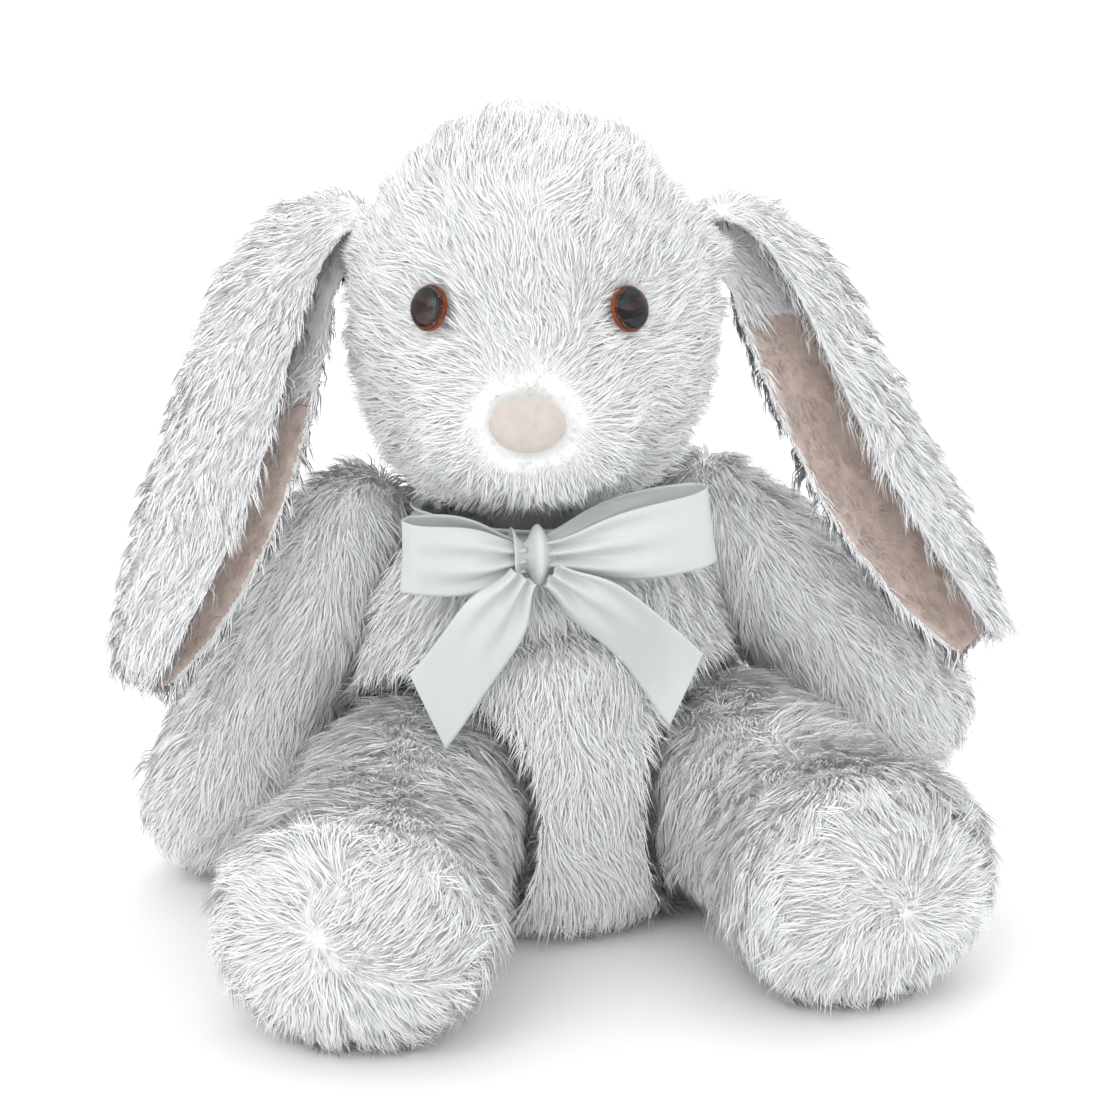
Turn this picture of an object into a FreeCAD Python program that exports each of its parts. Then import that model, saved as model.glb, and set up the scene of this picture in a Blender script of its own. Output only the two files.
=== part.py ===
"""A sitting plush bunny with long lop ears and a satin bow, as its sewn panels, stuffing and trim.

Millimetres, +Z up. The bunny faces -Y, and its own left side is +X. The origin is on the surface that it
sits on, under the middle of its seat. Panels are the plush with its pile, so their outer face is where the
tips of the pile lie; the stuffing is what fills the space inside them. Limbs, head, ears, tail and ribbon
ends meet the torso, head and knot in round sockets, with play all round, so that they can turn.
"""
import FreeCAD
import Part
import math
import os
from FreeCAD import Matrix, Placement, Rotation, Vector

# Driving dimensions
PLUSH = 6.0               # thickness of the plush, backing and pile together
PLAY = 1.0                # gap between pieces that turn against each other
HEAD_PLAY = 9.0           # room that the torso leaves under the head, for turning and nodding
HEAD_TURN = -11.0         # degrees; the head looks a little to the bunny's right
POLE_ANGLE = 82.0         # degrees; rounded forms end in a small flat at this latitude

# Head, in the head's own frame: its neck axis is Z, before HEAD_TURN
HEAD_Z = 198.0
HEAD_Y = -8.0
HEAD_HALF_WIDTH = 64.0
HEAD_TOP = 73.0
HEAD_BOTTOM = 66.0
HEAD_FRONT = 60.0
HEAD_BACK = 54.0
FACE_WEDGE = 0.16         # how much the face narrows towards the front
CHEEK_FULLNESS = 0.6      # 1 is an ellipsoid; less makes the head's lower half squarer
GUSSET_HALF = 19.0        # half the width of the strip that runs over the crown
MUZZLE_AT = Vector(0, -53, 175)
MUZZLE_HALF_WIDTH = 38.0
MUZZLE_DEPTH = 26.0
MUZZLE_HALF_HEIGHT = 30.0
NOSE_AT = Vector(0, -77, 180)
NOSE_HALF_WIDTH = 13.4
NOSE_DEPTH = 7.0
NOSE_HALF_HEIGHT = 10.2
EYE_AT = Vector(32.5, -53.5, 212)
EYE_FACING = Vector(0.70, -0.65, 0.30)
EYE_RADIUS = 7.5
PUPIL_RADIUS = 6.1
SHANK_RADIUS = 2.4

# Neck
NECK_AT = Vector(0, -2, 142)
NECK_RADIUS = 26.0

# Ears. A leaf folded along its spine, open towards the body, that hangs in front of the arms.
EAR_HINGE = Vector(60, 0, 224)              # in the head's frame
EAR_OUT = {"left": 5.0, "right": 3.0}       # degrees that each ear is swung outwards
EAR_FORWARD = {"left": 9.0, "right": 19.0}  # degrees that each ear is swung forwards
EAR_ROLL = {"left": 22.0, "right": 6.0}     # degrees that its open side is turned to the front
EAR_FLARE = {"left": 7.0, "right": 0.0}     # how far the tip is bent outwards from a hanging ear's line
EAR_STATIONS = (          # down the spine: outwards, forwards and down from the hinge; half width, half thickness
    (-7.0, 0.0, -3.0, 9.5, 9.0),
    (5.0, 0.0, -1.0, 15.0, 10.0),
    (18.0, 1.0, 13.0, 21.0, 11.0),
    (28.0, 2.0, 38.0, 24.0, 11.5),
    (38.0, 4.0, 72.0, 25.5, 12.0),
    (51.0, 6.0, 106.0, 24.0, 12.0),
    (63.0, 8.0, 134.0, 18.0, 11.0),
    (70.0, 9.0, 149.0, 10.5, 9.0),
)
EAR_PLUSH = 4.6
EAR_LINING = 1.8
SEWN_GAP = 0.3            # between an ear's two fabrics
EAR_FRONT_EDGE = {"left": 98.0, "right": 118.0}     # degrees round the section from the spine
EAR_BACK_EDGE = 158.0     # the same on the other side of the spine
EAR_SOCKET = 16.0

# Torso: height, half width, front depth, back depth
TORSO_RINGS = (
    (0.0, 56.0, 70.0, 42.0),
    (7.0, 67.0, 79.0, 54.0),
    (22.0, 74.0, 83.0, 61.0),
    (45.0, 76.0, 82.0, 64.0),
    (72.0, 72.0, 75.0, 61.0),
    (98.0, 66.0, 65.0, 56.0),
    (120.0, 59.0, 57.0, 50.0),
    (137.0, 49.0, 48.0, 42.0),
    (148.0, 37.0, 36.0, 33.0),
    (154.0, 21.0, 22.0, 20.0),
)
SIDE_SEAM_Y = -10.0
SEAT_SEAM_Z = 9.0

# Arms: shoulder, then the middle of each paw
SHOULDER = Vector(60, 8, 121)
PAW_AT = {"left": Vector(130, -3, 52), "right": Vector(-111, 8, 28)}
SHOULDER_RADIUS = 25.0
ARM_RADIUS = 28.5
PAW_RADIUS = 26.0
PAW_DEPTH = 26.0
SHOULDER_ROOM = 3.0       # gap round the ball of the shoulder

# Legs: hip, then the middle of each foot
HIP = {"left": Vector(58, -32, 41), "right": Vector(-43, -34, 41)}
FOOT_AT = {"left": Vector(84, -124, 38), "right": Vector(-78, -130, 38)}
HIP_RADIUS = 37.0
THIGH_RADIUS = 39.0
ANKLE_RADIUS = 38.0
FOOT_HALF_WIDTH = 47.0
FOOT_HALF_HEIGHT = 42.0
FOOT_DEPTH = 34.0
LEG_LIFT = 18.0           # degrees that the torso leaves room for the leg to be raised
LEG_ROOM = 2.0            # gap round the leg where it is in the torso
SOLE_SEAM = 12.0          # from the middle of the foot, along the leg

# Tail
TAIL_ROOT = Vector(0, 63, 46)
TAIL_RADIUS = 21.0
TAIL_REACH = 18.0         # from its root to its middle

# Pellet bags
SEAT_PELLETS_AT = Vector(0, 27, 20)
SEAT_PELLETS = (32.0, 24.0, 11.0)           # half width, half depth, half height
FOOT_PELLETS_RADIUS = 17.0

# Satin bow
RIBBON_WIDTH = 25.0
RIBBON_THICKNESS = 1.2
BAND_Z = (127.0, 136.0)
CHIN_ROOM = 3.5           # gap between the bow and the head, which nods and turns
KNOT_AT = Vector(-11, -64, 133)
KNOT_SIZE = (8.5, 6.5, 10.0)                # half width, half depth, half height
LOOP_LENGTH = {"left": 61.0, "right": 43.0}
LOOP_HALF_GAP = {"left": 9.0, "right": 8.0}
LOOP_RISE = {"left": 7.0, "right": 1.0}     # degrees that each loop climbs from the knot
LOOP_BACK = {"left": 1.0, "right": 6.0}     # degrees that each loop is swept back
TAIL_LENGTH = {"left": 57.0, "right": 47.0}    # down the middle of each ribbon end
TAIL_SPLAY = {"left": 48.0, "right": 38.0}  # degrees that each ribbon end leans outwards
TAIL_BEND_RADIUS = 190.0
TAIL_ASIDE = 4.5          # from the middle of the knot
TAIL_GATHER = (3.5, 20.0) # half width at the knot, and how far down it is full width
TAIL_LEAN = 14.0          # degrees that the belly holds it forwards
TAIL_SLANT = 4.0          # how much longer its inner edge is than its middle

# Care label in the seat's back seam
LABEL_SIZE = (13.0, 16.0, 1.0)              # width, reach, thickness
LABEL_AT = Vector(32, 54, 14)

SIDES = (("left", 1), ("right", -1))
FAR = 500.0
SLIVER = 0.02             # share of a node's volume; a scrap that a seam leaves behind is smaller


def mirrored(point, sign):
    """A point given for the bunny's left side, on the side that sign says."""
    return Vector(point.x * sign, point.y, point.z)


def block(x=(-FAR, FAR), y=(-FAR, FAR), z=(-FAR, FAR)):
    """A box between the given limits, for cutting panels at their seams."""
    corner = Vector(x[0], y[0], z[0])
    return Part.makeBox(x[1] - x[0], y[1] - y[0], z[1] - z[0], corner)


def ring(z, half_width, front, back, wedge=0.0, x=0.0, y=0.0, points=16):
    """A closed section at height z, which can be deeper in front than behind and narrower towards the front."""
    corners = []
    for i in range(points):
        turn = 2 * math.pi * i / points
        depth = front if math.sin(turn) < 0 else back
        narrow = 1 - wedge * max(0.0, -math.sin(turn))
        corners.append(Vector(x + half_width * math.cos(turn) * narrow, y + depth * math.sin(turn), z))
    curve = Part.BSplineCurve()
    curve.interpolate(Points=corners, PeriodicFlag=True)
    return Part.Wire(curve.toShape())


def lofted(rings):
    return Part.makeLoft(rings, True, False)


def egg(at, half_width, front, back, top, bottom, wedge=0.0, fullness=1.0, rings=9):
    """A rounded closed form about a point. A fullness under 1 makes its lower half squarer."""
    sections = []
    for i in range(rings):
        latitude = math.radians(-POLE_ANGLE + 2 * POLE_ANGLE * i / (rings - 1))
        height = top if latitude > 0 else bottom
        swell = math.cos(latitude) ** (1.0 if latitude > 0 else fullness)
        sections.append(ring(at.z + height * math.sin(latitude), half_width * swell, front * swell,
                             back * swell, wedge, at.x, at.y))
    return lofted(sections)


def pointed(shape, at, direction, across=None):
    """shape, made along +Z at the origin, moved so that it starts at a point and runs along direction."""
    ahead = Vector(direction)
    ahead.normalize()
    side = across if across is not None else Vector(0, 0, 1).cross(ahead)
    turn = Rotation(side, Vector(), ahead, "ZXY")
    placed = shape.copy()
    placed.Placement = Placement(at, turn).multiply(placed.Placement)
    return placed


def turned(shape, at, axis, degrees):
    moved = shape.copy()
    moved.rotate(at, axis, degrees)
    return moved


def head_turned(shape):
    """A piece of the head's group, from the head's own frame to the part's."""
    return turned(shape, Vector(), Vector(0, 0, 1), HEAD_TURN)


def seam_cut(shell, cuts):
    """The panels of one shell: each named region of space takes its share."""
    return {name: shell.common(region) for name, region in cuts.items()}


def without(shape, *others):
    for other in others:
        shape = shape.cut(other)
    return shape


# Head

def head_form(extra=0.0):
    skull = egg(Vector(0, HEAD_Y, HEAD_Z), HEAD_HALF_WIDTH + extra, HEAD_FRONT + extra, HEAD_BACK + extra,
                HEAD_TOP + extra, HEAD_BOTTOM + extra, FACE_WEDGE, CHEEK_FULLNESS, rings=11)
    muzzle = egg(MUZZLE_AT, MUZZLE_HALF_WIDTH + extra, MUZZLE_DEPTH + extra, MUZZLE_DEPTH + extra,
                 MUZZLE_HALF_HEIGHT + extra, MUZZLE_HALF_HEIGHT + extra)
    return skull.fuse(muzzle)


def eye_parts(sign):
    """A safety eye: a coloured back with its shank, a pupil, a clear dome, and the washer that locks it."""
    dome_height, back_thick, pupil_thick = 4.6, 1.6, 0.5
    shank_length, washer_depth, washer_thick = 11.0, 7.5, 1.4
    ball = (EYE_RADIUS ** 2 + dome_height ** 2) / (2 * dome_height)
    dome = Part.makeSphere(ball, Vector(0, 0, dome_height - ball)).common(
        Part.makeCylinder(EYE_RADIUS, dome_height))
    pupil = Part.makeCylinder(PUPIL_RADIUS, pupil_thick)
    back = Part.makeCylinder(EYE_RADIUS, back_thick, Vector(0, 0, -back_thick)).fuse(
        Part.makeCylinder(SHANK_RADIUS, shank_length, Vector(0, 0, -back_thick - shank_length)))
    washer_at = Vector(0, 0, -washer_depth - washer_thick)
    washer = Part.makeCylinder(EYE_RADIUS, washer_thick, washer_at).cut(
        Part.makeCylinder(SHANK_RADIUS, washer_thick, washer_at))
    facing = mirrored(EYE_FACING, sign)
    parts = {"lens": dome.cut(pupil), "pupil": pupil, "iris": back, "washer": washer}
    return {name: pointed(shape, mirrored(EYE_AT, sign), facing) for name, shape in parts.items()}


def nose_form(extra=0.0):
    return egg(NOSE_AT, NOSE_HALF_WIDTH + extra, NOSE_DEPTH + extra, NOSE_DEPTH + extra,
               NOSE_HALF_HEIGHT + extra, NOSE_HALF_HEIGHT + extra)


def head_nodes():
    """The head's panels, stuffing, eyes and nose, in the part's frame."""
    nodes = {}
    sockets = [Part.makeSphere(NECK_RADIUS + PLAY, NECK_AT)]
    inserts = [nose_form()]
    for side, sign in SIDES:
        sockets.append(Part.makeSphere(EAR_SOCKET + PLAY, mirrored(EAR_HINGE, sign)))
        for name, shape in eye_parts(sign).items():
            nodes[f"eye_{name}_{side}"] = shape
            inserts.append(shape)
    outer, inner = head_form(), head_form(-PLUSH)
    shell = without(outer.cut(inner), *sockets, *inserts)
    chin = block(y=(-FAR, HEAD_Y), z=(-FAR, NOSE_AT.z - 4))
    strip = block(x=(-GUSSET_HALF, GUSSET_HALF))
    nodes.update(seam_cut(shell, {
        "head_gusset": strip.cut(chin),
        "chin_panel": strip.common(chin),
        "head_side_left": block(x=(GUSSET_HALF, FAR)),
        "head_side_right": block(x=(-FAR, -GUSSET_HALF)),
    }))
    nodes["head_stuffing"] = without(inner, *sockets, *inserts)
    padding = nose_form(-1.5)
    nodes["nose_cover"] = nose_form().cut(padding)
    nodes["nose_padding"] = padding
    return {name: head_turned(shape) for name, shape in nodes.items()}


# Ears

def ear_section(middle, half_width, half_thick, ahead, inset_out, inset_in, front_edge):
    """A C-shaped closed wire across the ear: the fabric between two depths under its outer face."""
    spine = Vector(1, 0, 0) - ahead * ahead.x
    spine.normalize()
    front = spine.cross(ahead)
    if front.y > 0:
        front = front * -1

    def arc(inset, reverse):
        points = []
        count = 13
        for i in range(count):
            angle = math.radians(-EAR_BACK_EDGE + (front_edge + EAR_BACK_EDGE) * i / (count - 1))
            points.append(middle + spine * ((half_width - inset) * math.cos(angle))
                          + front * ((half_thick - inset) * math.sin(angle)))
        if reverse:
            points.reverse()
        curve = Part.BSplineCurve()
        curve.interpolate(Points=points)
        return curve.toShape(), points[0], points[-1]

    outer, outer_start, outer_end = arc(inset_out, False)
    inner, inner_start, inner_end = arc(inset_in, True)
    return Part.Wire([outer, Part.makeLine(outer_end, inner_start), inner, Part.makeLine(inner_end, outer_start)])


def ear_layer(inset_out, inset_in, flare, front_edge):
    """One fabric of a left ear with its hinge at the origin, before it is swung and rolled."""
    reach = EAR_STATIONS[-1][2]
    middles = [Vector(s[0] + flare * (s[2] / reach) ** 2, -s[1], -s[2]) for s in EAR_STATIONS]
    wires = []
    for i, station in enumerate(EAR_STATIONS):
        ahead = middles[min(i + 1, len(middles) - 1)] - middles[max(i - 1, 0)]
        ahead.normalize()
        wires.append(ear_section(middles[i], station[3], station[4], ahead, inset_out, inset_in, front_edge))
    return lofted(wires)


def ear_nodes():
    """Both ears, hanging from their hinges and kept off the side of the head."""
    nodes = {}
    last = EAR_STATIONS[-1]
    along = Vector(last[0], -last[1], -last[2])
    hinges = {side: head_turned(Part.Vertex(mirrored(EAR_HINGE, sign))).Point for side, sign in SIDES}
    sockets = [Part.makeSphere(EAR_SOCKET + PLAY, hinge) for hinge in hinges.values()]
    beside_head = without(head_turned(head_form(PLAY)), *sockets)
    for side, sign in SIDES:
        for name, inset, thick in (("outer", 0.0, EAR_PLUSH), ("lining", EAR_PLUSH + SEWN_GAP, EAR_LINING)):
            shape = ear_layer(inset, inset + thick, EAR_FLARE[side], EAR_FRONT_EDGE[side])
            ear = turned(shape, Vector(), along, -EAR_ROLL[side])
            ear = turned(ear, Vector(), Vector(0, 1, 0), -EAR_OUT[side])
            ear = turned(ear, Vector(), Vector(1, 0, 0), -EAR_FORWARD[side])
            if sign < 0:
                ear = ear.mirror(Vector(), Vector(1, 0, 0))
            ear.translate(hinges[side])
            nodes[f"ear_{name}_{side}"] = ear.cut(beside_head)
    return nodes


# Torso, neck and tail

def torso_form(extra=0.0):
    """The torso's outer form, or with a negative extra the form inside its plush."""
    rings = []
    low, high = TORSO_RINGS[0][0], TORSO_RINGS[-1][0]
    for z, half_width, front, back in TORSO_RINGS:
        inward = -extra * (2 * (z - low) / (high - low) - 1)
        rings.append(ring(z - inward, half_width + extra, front + extra, back + extra))
    return lofted(rings)


def tail_form(extra=0.0):
    middle = TAIL_ROOT + Vector(0, TAIL_REACH, 0)
    return egg(middle, TAIL_RADIUS + extra, TAIL_RADIUS + extra, TAIL_RADIUS + extra, TAIL_RADIUS + extra,
               TAIL_RADIUS + extra)


def seat_pellets():
    half_width, half_depth, half_height = SEAT_PELLETS
    return egg(SEAT_PELLETS_AT, half_width, half_depth, half_depth, half_height, half_height)


def torso_nodes():
    sockets = [head_turned(head_form(HEAD_PLAY)), Part.makeSphere(NECK_RADIUS + PLAY, NECK_AT),
               tail_form(4 * PLAY)]
    for side, sign in SIDES:
        sockets.append(Part.makeSphere(SHOULDER_RADIUS + SHOULDER_ROOM, mirrored(SHOULDER, sign)))
        sockets.append(arm_form(side, sign, PLAY))
        sockets.append(leg_form(side, LEG_ROOM, math.tan(math.radians(LEG_LIFT))))
    inner = torso_form(-PLUSH)
    shell = without(torso_form(), *sockets).cut(inner)
    above = block(z=(SEAT_SEAM_Z, FAR))
    front, back = block(y=(-FAR, SIDE_SEAM_Y)), block(y=(SIDE_SEAM_Y, FAR))
    nodes = seam_cut(shell, {
        "tummy_panel": above.common(front),
        "back_panel_left": above.common(back).common(block(x=(0, FAR))),
        "back_panel_right": above.common(back).common(block(x=(-FAR, 0))),
        "seat_panel": block(z=(-FAR, SEAT_SEAM_Z)),
    })
    pellets = seat_pellets()
    nodes["torso_stuffing"] = without(inner, *sockets, pellets)
    nodes["seat_pellet_bag"] = pellets
    tail_core = tail_form(-PLUSH)
    nodes["tail_cover"] = tail_form().cut(tail_core)
    nodes["tail_stuffing"] = tail_core
    nodes["neck_stuffing"] = Part.makeSphere(NECK_RADIUS, NECK_AT)
    width, reach, thick = LABEL_SIZE
    tag = Part.makeBox(width, reach, thick, LABEL_AT - Vector(width / 2, reach / 2, thick / 2))
    nodes["care_label"] = tag.cut(torso_form())
    return nodes


# Arms and legs

def rounded_end(middle, depth, half_width, half_height, start):
    """Rings of a rounded end: (distance along the limb, half width, half height), from or to its middle."""
    angles = (POLE_ANGLE, 60.0, 35.0, 12.0) if start else (12.0, 35.0, 60.0, POLE_ANGLE)
    way = -1 if start else 1
    rings = []
    for degrees in angles:
        angle = math.radians(degrees)
        swell = math.cos(angle)
        rings.append((middle + way * depth * math.sin(angle), half_width * swell, half_height * swell))
    return rings


def limb(rings, root, tip, roof=0.0):
    """A closed form through rings along the way from root to tip, whose top can climb away with a slope of roof."""
    shape = lofted([ring(s, w, h, h + roof * max(s, 0.0)) for s, w, h in rings])
    return pointed(shape, root, tip - root)


def arm_form(side, sign, extra=0.0):
    root, paw = mirrored(SHOULDER, sign), PAW_AT[side]
    length = (paw - root).Length
    upper, middle, lower = SHOULDER_RADIUS + extra, ARM_RADIUS + extra, PAW_RADIUS + extra
    rings = rounded_end(0.0, upper, upper, upper, start=True)
    rings += [(0.40 * length, middle, middle), (0.75 * length, middle, middle)]
    rings += rounded_end(length, PAW_DEPTH + extra, lower, lower, start=False)
    return limb(rings, root, paw)


def leg_form(side, extra=0.0, roof=0.0):
    root, foot = HIP[side], FOOT_AT[side]
    length = (foot - root).Length
    hip, thigh, ankle = HIP_RADIUS + extra, THIGH_RADIUS + extra, ANKLE_RADIUS + extra
    wide, high = FOOT_HALF_WIDTH + extra, FOOT_HALF_HEIGHT + extra
    rings = rounded_end(0.0, hip, hip, hip, start=True)
    rings += [(0.30 * length, thigh, thigh), (0.62 * length, ankle, ankle), (0.86 * length, wide - 2.0, high - 2.0)]
    rings += rounded_end(length, FOOT_DEPTH + extra, wide, high, start=False)
    floor = -min(extra, 0.0)
    return limb(rings, root, foot, roof).common(block(z=(floor, FAR)))


def arm_nodes():
    nodes = {}
    for side, sign in SIDES:
        outer, inner = arm_form(side, sign), arm_form(side, sign, -PLUSH)
        shell = outer.cut(inner)
        root, paw = mirrored(SHOULDER, sign), PAW_AT[side]
        half = block(x=(0, FAR)) if sign > 0 else block(x=(-FAR, 0))
        outside = pointed(half, root, paw - root, across=Vector(1, 0, 0))
        nodes[f"arm_outer_{side}"] = shell.common(outside)
        nodes[f"arm_inner_{side}"] = shell.cut(outside)
        nodes[f"arm_stuffing_{side}"] = inner
    return nodes


def leg_nodes():
    nodes = {}
    for side, _ in SIDES:
        outer, inner = leg_form(side), leg_form(side, -PLUSH)
        shell = outer.cut(inner)
        root, foot = HIP[side], FOOT_AT[side]
        beyond = pointed(block(z=(0, FAR)), root, foot - root)
        ahead = foot - root
        ahead.normalize()
        beyond.translate(ahead * ((foot - root).Length + SOLE_SEAM))
        upper = block(z=(root.z, FAR))
        leg = shell.cut(beyond)
        nodes[f"foot_sole_{side}"] = shell.common(beyond)
        nodes[f"leg_upper_{side}"] = leg.common(upper)
        nodes[f"leg_under_{side}"] = leg.cut(upper)
        r = FOOT_PELLETS_RADIUS
        pellets = egg(foot, r, r, r, r, r)
        nodes[f"leg_stuffing_{side}"] = inner.cut(pellets)
        nodes[f"foot_pellet_bag_{side}"] = pellets
    return nodes


# Satin bow

def teardrop(length, half_gap, inset):
    """A loop of ribbon seen from above, from the knot at the origin out along +X."""
    points = []
    count = 14
    for i in range(count):
        turn = 2 * math.pi * i / count
        reach = (1 - math.cos(turn)) / 2
        wide = math.sin(turn) * (0.35 + 0.65 * reach)
        points.append(Vector(inset + (length - 2 * inset) * reach, (half_gap - inset) * wide, 0))
    curve = Part.BSplineCurve()
    curve.interpolate(Points=points, PeriodicFlag=True)
    return Part.Face(Part.Wire(curve.toShape()))


def bow_loop(side, sign):
    length, gap = LOOP_LENGTH[side], LOOP_HALF_GAP[side]
    face = teardrop(length, gap, 0.0).cut(teardrop(length, gap, RIBBON_THICKNESS))
    loop = face.extrude(Vector(0, 0, RIBBON_WIDTH))
    loop.translate(Vector(KNOT_SIZE[0] * 0.6, 0, -RIBBON_WIDTH / 2))
    loop = turned(loop, Vector(), Vector(0, 1, 0), -LOOP_RISE[side])
    loop = turned(loop, Vector(), Vector(0, 0, 1), LOOP_BACK[side])
    if sign < 0:
        loop = loop.mirror(Vector(), Vector(1, 0, 0))
    loop.translate(KNOT_AT)
    return loop


def ribbon_end(side, sign):
    """One end of the ribbon: a strip that hangs from under the knot and bends round the belly."""
    bend, half = TAIL_BEND_RADIUS, RIBBON_WIDTH / 2
    centre = Vector(0, bend, 0)
    tube = Part.makeCylinder(bend, RIBBON_WIDTH, centre - Vector(half, 0, 0), Vector(1, 0, 0))
    hollow = Part.makeCylinder(bend - RIBBON_THICKNESS, RIBBON_WIDTH, centre - Vector(half, 0, 0), Vector(1, 0, 0))
    top_half, gather = TAIL_GATHER
    length, slant = TAIL_LENGTH[side], sign * TAIL_SLANT
    corners = [(-top_half, 0), (top_half, 0), (half, -gather), (half, slant - length), (-half, -slant - length),
               (-half, -gather), (-top_half, 0)]
    outline = Part.Face(Part.makePolygon([Vector(x, -bend, z) for x, z in corners]))
    strip = tube.cut(hollow).common(outline.extrude(Vector(0, 2 * bend, 0)))
    strip = turned(strip, Vector(), Vector(1, 0, 0), -TAIL_LEAN)
    strip = turned(strip, Vector(), Vector(0, 1, 0), -sign * TAIL_SPLAY[side])
    strip.translate(KNOT_AT + Vector(sign * TAIL_ASIDE, -KNOT_SIZE[1] - PLAY, -KNOT_SIZE[2] * 0.6))
    return strip


def bow_nodes():
    half_width, half_depth, half_height = KNOT_SIZE
    knot = egg(KNOT_AT, half_width, half_depth, half_depth, half_height, half_height)
    under_head = head_form(HEAD_PLAY).cut(head_form(HEAD_PLAY - RIBBON_THICKNESS))
    shoulders = [Part.makeSphere(SHOULDER_RADIUS + SHOULDER_ROOM, mirrored(SHOULDER, sign)) for _, sign in SIDES]
    band = without(head_turned(under_head.common(block(z=BAND_Z))), *shoulders)
    chin = head_turned(head_form(CHIN_ROOM))
    nodes = {"bow_knot": knot.cut(chin), "neck_band": band.cut(knot)}
    for side, sign in SIDES:
        nodes[f"bow_loop_{side}"] = without(bow_loop(side, sign), knot, band, chin)
        nodes[f"ribbon_end_{side}"] = ribbon_end(side, sign)
    return nodes


def main():
    os.makedirs("parts", exist_ok=True)
    nodes = {}
    for group in (head_nodes, ear_nodes, torso_nodes, arm_nodes, leg_nodes, bow_nodes):
        nodes.update(group())
    for name, shape in nodes.items():
        solids = [s for s in shape.Solids if s.Volume > SLIVER * shape.Volume]
        shape = solids[0] if len(solids) == 1 else Part.makeCompound(solids)
        box = shape.BoundBox
        print(f"{name:20s} {len(solids)} solid(s) valid {shape.isValid()} {shape.Volume / 1000:8.2f} ml  "
              f"x {box.XMin:7.1f} {box.XMax:7.1f}  y {box.YMin:7.1f} {box.YMax:7.1f}  z {box.ZMin:6.1f} {box.ZMax:6.1f}")
        shape.exportStep(f"parts/{name}.step")
    print(len(nodes), "nodes")


main()
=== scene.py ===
import math

import bmesh
import bpy
import numpy as np
from mathutils import Matrix, Vector
from mathutils.bvhtree import BVHTree
from mathutils.kdtree import KDTree


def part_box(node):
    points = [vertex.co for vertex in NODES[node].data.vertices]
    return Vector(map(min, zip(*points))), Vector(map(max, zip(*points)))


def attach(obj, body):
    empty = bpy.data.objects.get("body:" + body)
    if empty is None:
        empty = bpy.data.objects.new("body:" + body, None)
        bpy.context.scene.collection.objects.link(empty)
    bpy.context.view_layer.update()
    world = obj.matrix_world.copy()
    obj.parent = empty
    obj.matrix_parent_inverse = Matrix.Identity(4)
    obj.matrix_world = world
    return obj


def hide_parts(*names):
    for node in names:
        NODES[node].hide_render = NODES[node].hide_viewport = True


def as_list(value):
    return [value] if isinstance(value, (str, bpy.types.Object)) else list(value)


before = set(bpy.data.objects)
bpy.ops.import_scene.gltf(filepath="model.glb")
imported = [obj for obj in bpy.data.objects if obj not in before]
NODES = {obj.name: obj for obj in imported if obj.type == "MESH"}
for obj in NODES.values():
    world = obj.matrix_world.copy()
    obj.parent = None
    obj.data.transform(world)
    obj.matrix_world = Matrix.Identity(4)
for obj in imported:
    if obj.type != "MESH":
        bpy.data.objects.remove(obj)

SCENE = bpy.context.scene
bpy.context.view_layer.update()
SIDES = {"left": 1, "right": -1}
MM = 0.001

# The toy's own places, in metres: the same as in the CAD
HEAD_TURN = Matrix.Rotation(math.radians(-11), 4, "Z")
HEAD_AT = Vector((0, -0.008, 0.198))
NOSE_AT = HEAD_TURN @ Vector((0, -0.077, 0.180))
EYE_AT = {s: HEAD_TURN @ Vector((sign * 0.0325, -0.0535, 0.212)) for s, sign in SIDES.items()}
EAR_AT = {s: HEAD_TURN @ Vector((sign * 0.060, 0, 0.224)) for s, sign in SIDES.items()}
SHOULDER = {s: Vector((sign * 0.060, 0.008, 0.121)) for s, sign in SIDES.items()}
HIP = {"left": Vector((0.058, -0.032, 0.041)), "right": Vector((-0.043, -0.034, 0.041))}
FOOT_AT = {"left": Vector((0.084, -0.124, 0.038)), "right": Vector((-0.078, -0.130, 0.038))}
TAIL_AT = Vector((0, 0.063, 0.046))
KNOT_AT = Vector((-0.011, -0.064, 0.133))

# Above this height each ear's plush is folded over its lining
EAR_OPENS = {"left": 0.196, "right": 0.176}
EAR_PROUD = 2.5 * MM        # a point this far off an ear's cloth is nearest to the fabric on its own side

# Camera
AZIMUTH, ELEVATION, DISTANCE = math.radians(-10), math.radians(18), 1.25
AIM = Vector((0.009, 0, 0.1096))
FOCAL_LENGTH = 117.5

# Covers: the size of their grid's cells, and how far the cloth lies inside the tips of its pile
CELL = 4.0 * MM
PILE_DEPTH = 4.6 * MM
FLOOR_ROOM = 0.6 * MM       # no cloth lies lower than this
SEWN_TO_EAR = 16 * MM       # radius of the cloth across each ear's socket
SIDE_SEAM = 19 * MM         # from the middle of the crown to the seam on each side of it

# Pile
PILE_LENGTH = 10.5 * MM
PILE_LIFT = 0.44            # a strand's rise over its length
PILE_WIDTH = 0.45 * MM
PILE_PER_M2 = 1150e3
PILE_ROUGHNESS = 0.8
MOST_STRANDS = 22000        # in one piece
CLUMP_APART = 3.4 * MM
CLUMP_PULL = 0.42           # how far a strand's tip is drawn to the middle of its tuft
LOWEST_ROOT = 1.2 * MM
LOWEST_TIP = 0.3 * MM

# Satin
RIBBON_WIDTH = 25 * MM
SATIN_THICKNESS = 0.35 * MM


# ---------------------------------------------------------------- camera, light and floor

def look(obj, place, target):
    obj.location = place
    obj.rotation_euler = (Vector(target) - Vector(place)).to_track_quat("-Z", "Y").to_euler()


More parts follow.
